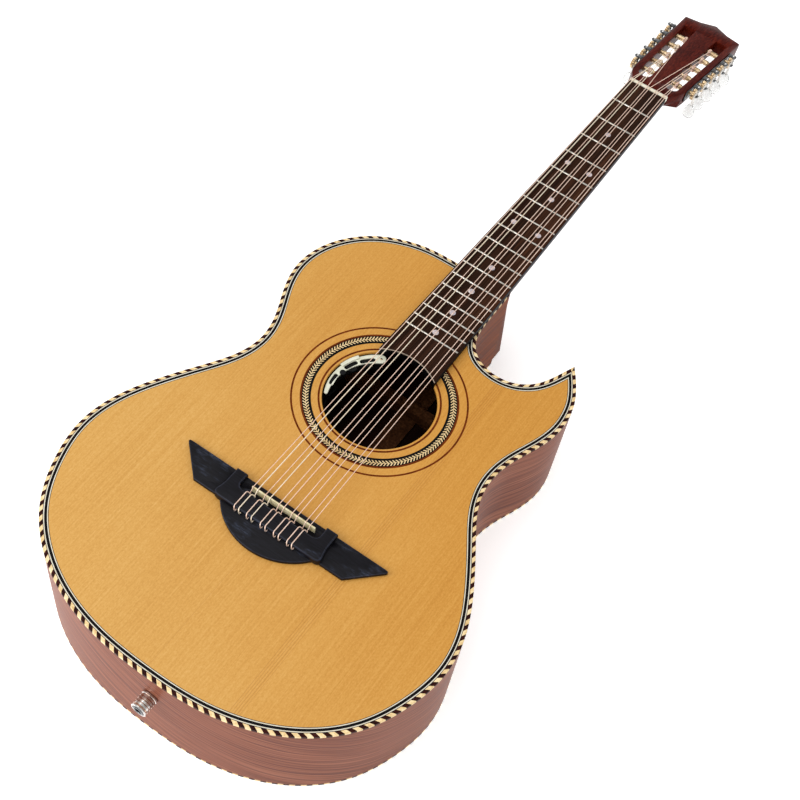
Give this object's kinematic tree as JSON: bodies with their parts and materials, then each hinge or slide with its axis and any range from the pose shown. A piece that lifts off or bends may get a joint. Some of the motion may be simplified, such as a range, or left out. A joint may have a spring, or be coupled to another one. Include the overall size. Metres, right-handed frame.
{
  "type": "bajo quinto",
  "caption": "Acoustic bass guitar of the bajo quinto type: paired strings, sharp cutaway, rope binding, slotted head with geared tuners and a soundhole preamp.",
  "frame": {"origin": "middle of the body's length, on the outer face of the flat back", "axes": "+Z out of the soundboard, +Y along the neck towards the head, +X to the treble side, where the cutaway is"},
  "size_m": [0.3819, 1.0373, 0.1293],
  "materials": {
    "spruce": "satin",
    "sapele": "gloss",
    "mahogany": "gloss",
    "rosewood": "satin",
    "ebony": "satin",
    "rope": "gloss",
    "purfling": "gloss",
    "cedar": "raw",
    "maple": "raw",
    "bone": "polished",
    "brass": "polished",
    "nickel": "polished",
    "steel": "plain",
    "bronze": "wound",
    "ivory_plastic": "satin",
    "black_plastic": "satin",
    "copper_film": "thin film"
  },
  "bodies": {
    "instrument": {"soundboard": "spruce", "top_bracing": "spruce", "back_bracing": "spruce", "back_plate": "sapele", "side_rim": "sapele", "top_binding": "rope", "back_binding": "rope", "rosette_band": "rope", "top_purfling": "purfling", "neck_block": "mahogany", "tail_block": "mahogany", "neck": "mahogany", "top_lining": "cedar", "back_lining": "cedar", "bridge_plate": "maple", "bridge": "ebony", "saddle": "bone", "nut": "bone", "saddle_pickup": "copper_film", "neck_bar": "steel", "fingerboard": "rosewood", "tuner_plate_bass": "nickel", "tuner_plate_treble": "nickel", "string_1a": "bronze", "string_1b": "bronze", "string_2a": "bronze", "string_2b": "bronze", "string_3a": "bronze", "string_3b": "bronze", "string_4a": "bronze", "string_4b": "bronze", "string_5a": "bronze", "string_5b": "bronze", "preamp_housing": "ivory_plastic", "endpin_jack": "nickel", "jack_collar": "nickel", "pickup_lead": "black_plastic", "jack_lead": "black_plastic"},
    "worm_bass_1": {"tuner_worm_bass_1": "nickel"},
    "post_bass_1": {"tuner_post_bass_1": "brass"},
    "worm_bass_2": {"tuner_worm_bass_2": "nickel"},
    "post_bass_2": {"tuner_post_bass_2": "brass"},
    "worm_bass_3": {"tuner_worm_bass_3": "nickel"},
    "post_bass_3": {"tuner_post_bass_3": "brass"},
    "worm_bass_4": {"tuner_worm_bass_4": "nickel"},
    "post_bass_4": {"tuner_post_bass_4": "brass"},
    "worm_bass_5": {"tuner_worm_bass_5": "nickel"},
    "post_bass_5": {"tuner_post_bass_5": "brass"},
    "worm_treble_1": {"tuner_worm_treble_1": "nickel"},
    "post_treble_1": {"tuner_post_treble_1": "brass"},
    "worm_treble_2": {"tuner_worm_treble_2": "nickel"},
    "post_treble_2": {"tuner_post_treble_2": "brass"},
    "worm_treble_3": {"tuner_worm_treble_3": "nickel"},
    "post_treble_3": {"tuner_post_treble_3": "brass"},
    "worm_treble_4": {"tuner_worm_treble_4": "nickel"},
    "post_treble_4": {"tuner_post_treble_4": "brass"},
    "worm_treble_5": {"tuner_worm_treble_5": "nickel"},
    "post_treble_5": {"tuner_post_treble_5": "brass"},
    "volume_wheel": {"preamp_volume_wheel": "black_plastic"},
    "tone_wheel": {"preamp_tone_wheel": "black_plastic"}
  },
  "joints": [
    {"name": "worm_bass_1_spin", "type": "hinge", "parent": "instrument", "child": "worm_bass_1", "pos_m": [-0.04132, 0.72609, 0.08345], "axis": [0, 0.2079, 0.9781], "continuous": true},
    {"name": "post_bass_1_spin", "type": "hinge", "parent": "instrument", "child": "post_bass_1", "pos_m": [-0.03467, 0.71717, 0.08535], "axis": [0.9996, 0.0273, -0.0058], "continuous": true},
    {"name": "worm_bass_2_spin", "type": "hinge", "parent": "instrument", "child": "worm_bass_2", "pos_m": [-0.04065, 0.70248, 0.08847], "axis": [0, 0.2079, 0.9781], "continuous": true},
    {"name": "post_bass_2_spin", "type": "hinge", "parent": "instrument", "child": "post_bass_2", "pos_m": [-0.03399, 0.69356, 0.09037], "axis": [0.9996, 0.0273, -0.0058], "continuous": true},
    {"name": "worm_bass_3_spin", "type": "hinge", "parent": "instrument", "child": "worm_bass_3", "pos_m": [-0.03998, 0.67887, 0.09349], "axis": [0, 0.2079, 0.9781], "continuous": true},
    {"name": "post_bass_3_spin", "type": "hinge", "parent": "instrument", "child": "post_bass_3", "pos_m": [-0.03332, 0.66995, 0.09538], "axis": [0.9996, 0.0273, -0.0058], "continuous": true},
    {"name": "worm_bass_4_spin", "type": "hinge", "parent": "instrument", "child": "worm_bass_4", "pos_m": [-0.0393, 0.65525, 0.09851], "axis": [0, 0.2079, 0.9781], "continuous": true},
    {"name": "post_bass_4_spin", "type": "hinge", "parent": "instrument", "child": "post_bass_4", "pos_m": [-0.03264, 0.64633, 0.1004], "axis": [0.9996, 0.0273, -0.0058], "continuous": true},
    {"name": "worm_bass_5_spin", "type": "hinge", "parent": "instrument", "child": "worm_bass_5", "pos_m": [-0.03863, 0.63164, 0.10353], "axis": [0, 0.2079, 0.9781], "continuous": true},
    {"name": "post_bass_5_spin", "type": "hinge", "parent": "instrument", "child": "post_bass_5", "pos_m": [-0.03197, 0.62272, 0.10542], "axis": [0.9996, 0.0273, -0.0058], "continuous": true},
    {"name": "worm_treble_1_spin", "type": "hinge", "parent": "instrument", "child": "worm_treble_1", "pos_m": [0.04132, 0.72609, 0.08345], "axis": [0, 0.2079, 0.9781], "continuous": true},
    {"name": "post_treble_1_spin", "type": "hinge", "parent": "instrument", "child": "post_treble_1", "pos_m": [0.03467, 0.71717, 0.08535], "axis": [0.9996, -0.0273, 0.0058], "continuous": true},
    {"name": "worm_treble_2_spin", "type": "hinge", "parent": "instrument", "child": "worm_treble_2", "pos_m": [0.04065, 0.70248, 0.08847], "axis": [0, 0.2079, 0.9781], "continuous": true},
    {"name": "post_treble_2_spin", "type": "hinge", "parent": "instrument", "child": "post_treble_2", "pos_m": [0.03399, 0.69356, 0.09037], "axis": [0.9996, -0.0273, 0.0058], "continuous": true},
    {"name": "worm_treble_3_spin", "type": "hinge", "parent": "instrument", "child": "worm_treble_3", "pos_m": [0.03998, 0.67887, 0.09349], "axis": [0, 0.2079, 0.9781], "continuous": true},
    {"name": "post_treble_3_spin", "type": "hinge", "parent": "instrument", "child": "post_treble_3", "pos_m": [0.03332, 0.66995, 0.09538], "axis": [0.9996, -0.0273, 0.0058], "continuous": true},
    {"name": "worm_treble_4_spin", "type": "hinge", "parent": "instrument", "child": "worm_treble_4", "pos_m": [0.0393, 0.65525, 0.09851], "axis": [0, 0.2079, 0.9781], "continuous": true},
    {"name": "post_treble_4_spin", "type": "hinge", "parent": "instrument", "child": "post_treble_4", "pos_m": [0.03264, 0.64633, 0.1004], "axis": [0.9996, -0.0273, 0.0058], "continuous": true},
    {"name": "worm_treble_5_spin", "type": "hinge", "parent": "instrument", "child": "worm_treble_5", "pos_m": [0.03863, 0.63164, 0.10353], "axis": [0, 0.2079, 0.9781], "continuous": true},
    {"name": "post_treble_5_spin", "type": "hinge", "parent": "instrument", "child": "post_treble_5", "pos_m": [0.03197, 0.62272, 0.10542], "axis": [0.9996, -0.0273, 0.0058], "continuous": true},
    {"name": "volume_turn", "type": "hinge", "parent": "instrument", "child": "volume_wheel", "pos_m": [-0.03407, 0.1036, 0.114], "axis": [0, 0, 1], "range_deg": [-140, 140]},
    {"name": "tone_turn", "type": "hinge", "parent": "instrument", "child": "tone_wheel", "pos_m": [-0.04196, 0.09019, 0.114], "axis": [0, 0, 1], "range_deg": [-140, 140]}
  ],
  "couplings": [
    {"joint": "post_bass_1_spin", "follows": "worm_bass_1_spin", "ratio": 0.071429},
    {"joint": "post_bass_2_spin", "follows": "worm_bass_2_spin", "ratio": 0.071429},
    {"joint": "post_bass_3_spin", "follows": "worm_bass_3_spin", "ratio": 0.071429},
    {"joint": "post_bass_4_spin", "follows": "worm_bass_4_spin", "ratio": 0.071429},
    {"joint": "post_bass_5_spin", "follows": "worm_bass_5_spin", "ratio": 0.071429},
    {"joint": "post_treble_1_spin", "follows": "worm_treble_1_spin", "ratio": -0.071429},
    {"joint": "post_treble_2_spin", "follows": "worm_treble_2_spin", "ratio": -0.071429},
    {"joint": "post_treble_3_spin", "follows": "worm_treble_3_spin", "ratio": -0.071429},
    {"joint": "post_treble_4_spin", "follows": "worm_treble_4_spin", "ratio": -0.071429},
    {"joint": "post_treble_5_spin", "follows": "worm_treble_5_spin", "ratio": -0.071429}
  ]
}
